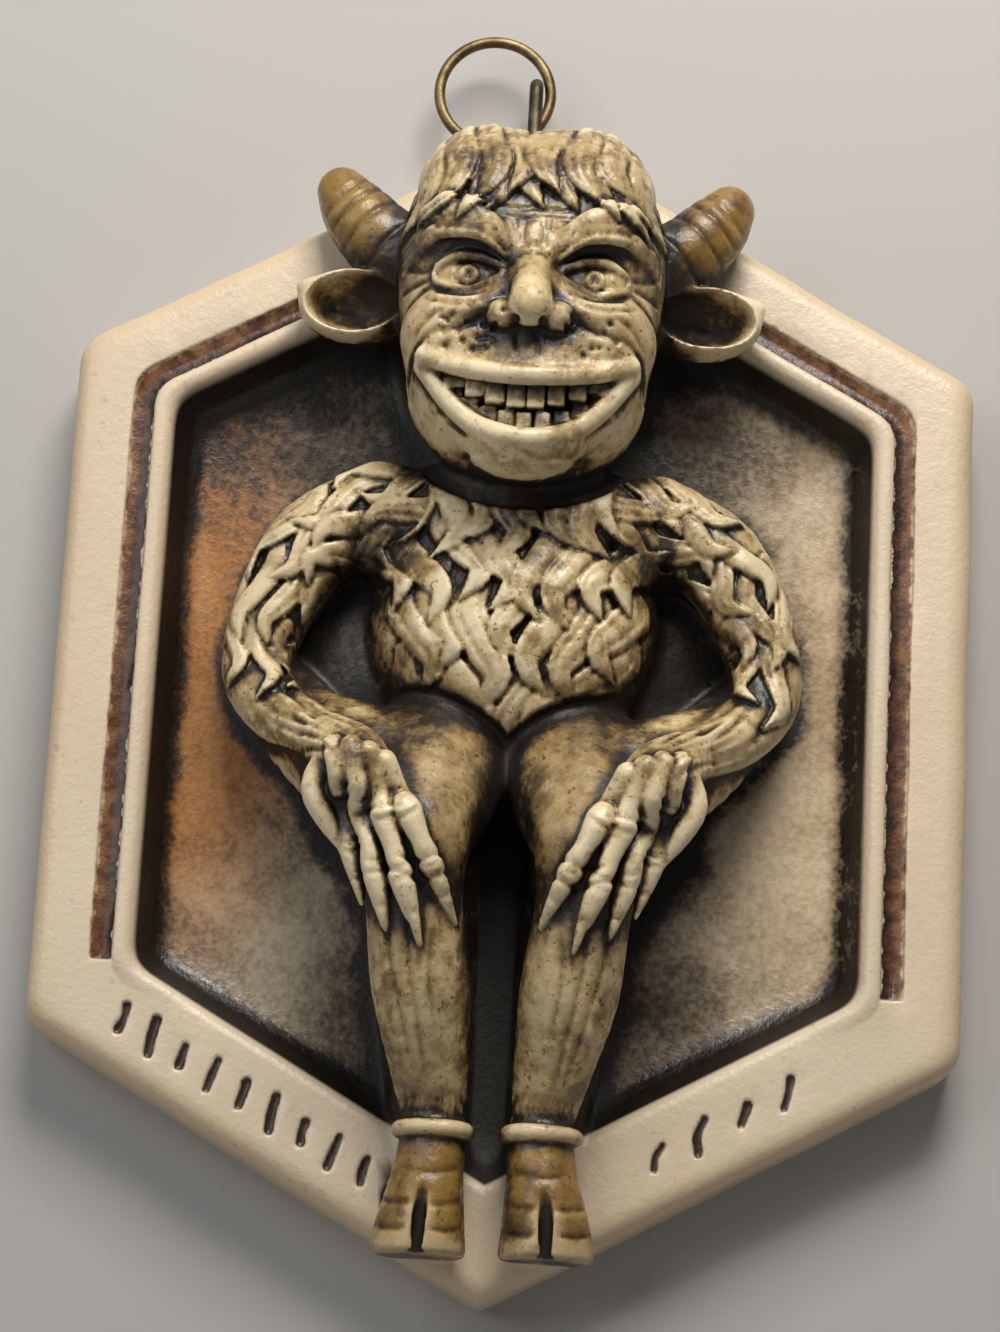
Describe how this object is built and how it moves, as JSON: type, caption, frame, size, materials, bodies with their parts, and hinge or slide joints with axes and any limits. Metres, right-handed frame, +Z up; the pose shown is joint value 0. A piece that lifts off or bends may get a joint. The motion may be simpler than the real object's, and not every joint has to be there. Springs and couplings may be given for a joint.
{
  "type": "decorative wall plaque",
  "caption": "Elongated six-sided cast wall plaque with a moulded rim, a dished panel and a seated horned imp in high relief, hung by a brass ring through a wire eye.",
  "frame": {"origin": "middle of the flat back, on the wall", "axes": "+Z up to the corner with the ring, +Y into the wall, so the relief looks towards -Y"},
  "size_m": [0.127, 0.0431, 0.1834],
  "materials": {
    "painted_casting": "ivory paint with a dark antiquing wash, waxy satin",
    "dark_brass": "tarnished wire",
    "aged_brass": "dull polished wire"
  },
  "bodies": {
    "root": {"plaque": "painted_casting", "screw_eye": "dark_brass", "hanging_ring": "aged_brass"}
  },
  "joints": []
}
